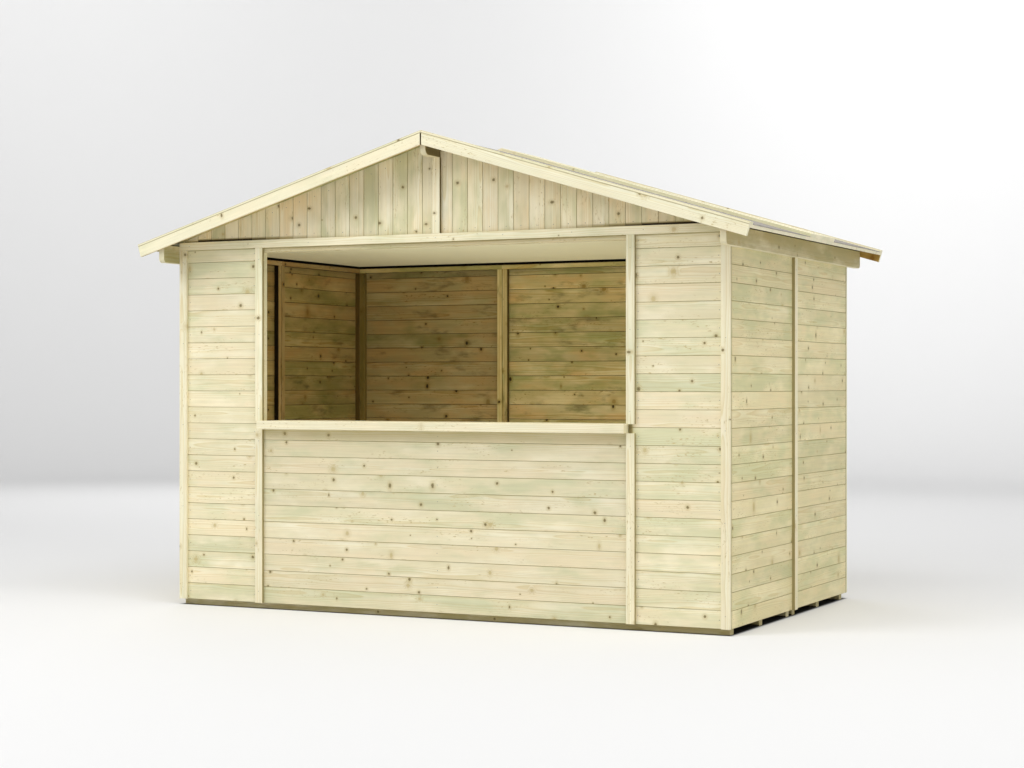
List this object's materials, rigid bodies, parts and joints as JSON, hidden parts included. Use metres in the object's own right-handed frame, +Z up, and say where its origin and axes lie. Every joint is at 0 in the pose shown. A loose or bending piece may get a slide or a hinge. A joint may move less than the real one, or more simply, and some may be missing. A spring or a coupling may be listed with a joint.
{
  "type": "wooden market stall",
  "caption": "Boarded timber market stall with a ridge roof, a wide serving opening and a counter board across its front.",
  "frame": {"origin": "on the ground under the middle of the stall, centred on its width and depth", "axes": "+X along the front to the right as a customer faces it, +Y from the front wall to the back wall, +Z up"},
  "size_m": [3.3034, 2.116, 2.3477],
  "materials": {
    "barge_timber": "planed, pressure treated",
    "bearer_timber": "rough sawn, pressure treated",
    "ceiling_board": "smooth, pale",
    "counter_board": "planed, pressure treated",
    "floor_boards": "planed, pressure treated",
    "frame_timber": "planed, pressure treated",
    "gable_boards": "planed tongue and groove, pressure treated",
    "purlin_timber": "planed, pressure treated",
    "roof_boards": "planed tongue and groove, pressure treated",
    "roof_felt": "mineral surfaced felt",
    "trim_timber": "planed, pressure treated",
    "wall_boards": "planed tongue and groove, pressure treated"
  },
  "bodies": {
    "root": {"back_wall_centre": "wall_boards", "back_wall_left": "wall_boards", "back_wall_rails": "frame_timber", "back_wall_right": "wall_boards", "back_wall_studs": "frame_timber", "barge_boards": "barge_timber", "barge_caps": "barge_timber", "ceiling": "ceiling_board", "corner_strips": "trim_timber", "counter": "counter_board", "eave_purlins": "purlin_timber", "floor_bearers_front": "bearer_timber", "floor_bearers_rear": "bearer_timber", "floor_boards_front": "floor_boards", "floor_boards_rear": "floor_boards", "front_lintel": "wall_boards", "front_wall_left": "wall_boards", "front_wall_lower": "wall_boards", "front_wall_rails": "frame_timber", "front_wall_right": "wall_boards", "front_wall_studs": "frame_timber", "gable_back_left": "gable_boards", "gable_back_right": "gable_boards", "gable_battens": "trim_timber", "gable_front_left": "gable_boards", "gable_front_right": "gable_boards", "gable_strips": "trim_timber", "joint_strips": "trim_timber", "left_wall_front": "wall_boards", "left_wall_rails": "frame_timber", "left_wall_rear": "wall_boards", "left_wall_studs": "frame_timber", "opening_strips": "trim_timber", "ridge_purlin": "purlin_timber", "right_wall_front": "wall_boards", "right_wall_rails": "frame_timber", "right_wall_rear": "wall_boards", "right_wall_studs": "frame_timber", "roof_felt_left": "roof_felt", "roof_felt_right": "roof_felt", "roof_infill": "roof_boards", "roof_joint_cover_left": "roof_boards", "roof_joint_cover_right": "roof_boards", "roof_panels_left": "roof_boards", "roof_panels_right": "roof_boards"}
  },
  "joints": []
}
